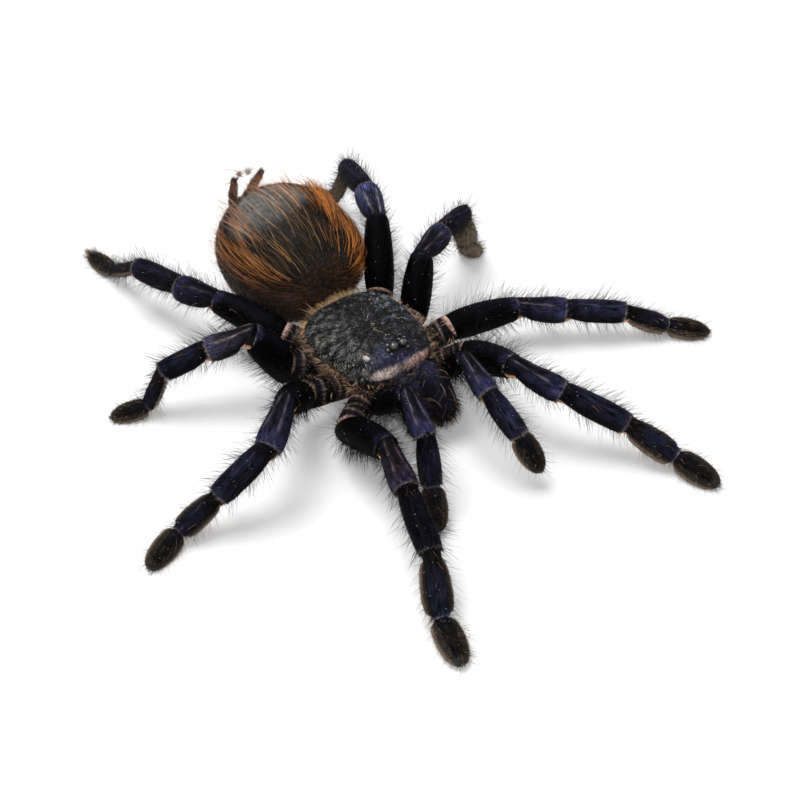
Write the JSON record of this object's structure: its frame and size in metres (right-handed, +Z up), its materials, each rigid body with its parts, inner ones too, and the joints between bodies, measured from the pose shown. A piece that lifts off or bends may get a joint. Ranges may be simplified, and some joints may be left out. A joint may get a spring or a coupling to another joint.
{
  "type": "tarantula specimen",
  "caption": "Dry tarantula standing with its legs spread: domed carapace, blue-black furry legs and palps, round abdomen with long orange hairs, finger-like spinnerets.",
  "frame": {"origin": "on the floor, under the middle of the outline in plan", "axes": "+Z up; -Y the way the head faces, +Y toward the abdomen and the longest way across the legs; +X the spider's left side"},
  "size_m": [0.1198, 0.1296, 0.025],
  "materials": {
    "carapace_cuticle": "dark grey cuticle under short pale grey hairs, pink-brown fringe",
    "leg_fur": "blue-black velvet fur with long fine hairs",
    "chelicera_fur": "deep blue fur with scattered orange hairs",
    "abdomen_fur": "dark brown fur under long orange hairs, with a bare grey patch at the rear",
    "spinneret_fur": "orange-brown fur, dark tips",
    "joint_skin": "pale pinkish skin between the segments",
    "foot_pad": "dense brown pile on the last two leg segments",
    "fang_horn": "glossy black horn",
    "eye_lens": "glossy dark lenses"
  },
  "bodies": {
    "root": {"abdomen": "abdomen_fur", "carapace": "carapace_cuticle", "chelicera_left": "chelicera_fur", "chelicera_right": "chelicera_fur", "fang_left": "fang_horn", "fang_right": "fang_horn", "leg_1_left": "leg_fur", "leg_1_right": "leg_fur", "leg_2_left": "leg_fur", "leg_2_right": "leg_fur", "leg_3_left": "leg_fur", "leg_3_right": "leg_fur", "leg_4_left": "leg_fur", "leg_4_right": "leg_fur", "palp_left": "leg_fur", "palp_right": "leg_fur", "pedicel": "joint_skin", "spinneret_long_left": "spinneret_fur", "spinneret_long_right": "spinneret_fur", "spinneret_short_left": "spinneret_fur", "spinneret_short_right": "spinneret_fur", "sternum": "leg_fur"}
  },
  "joints": []
}
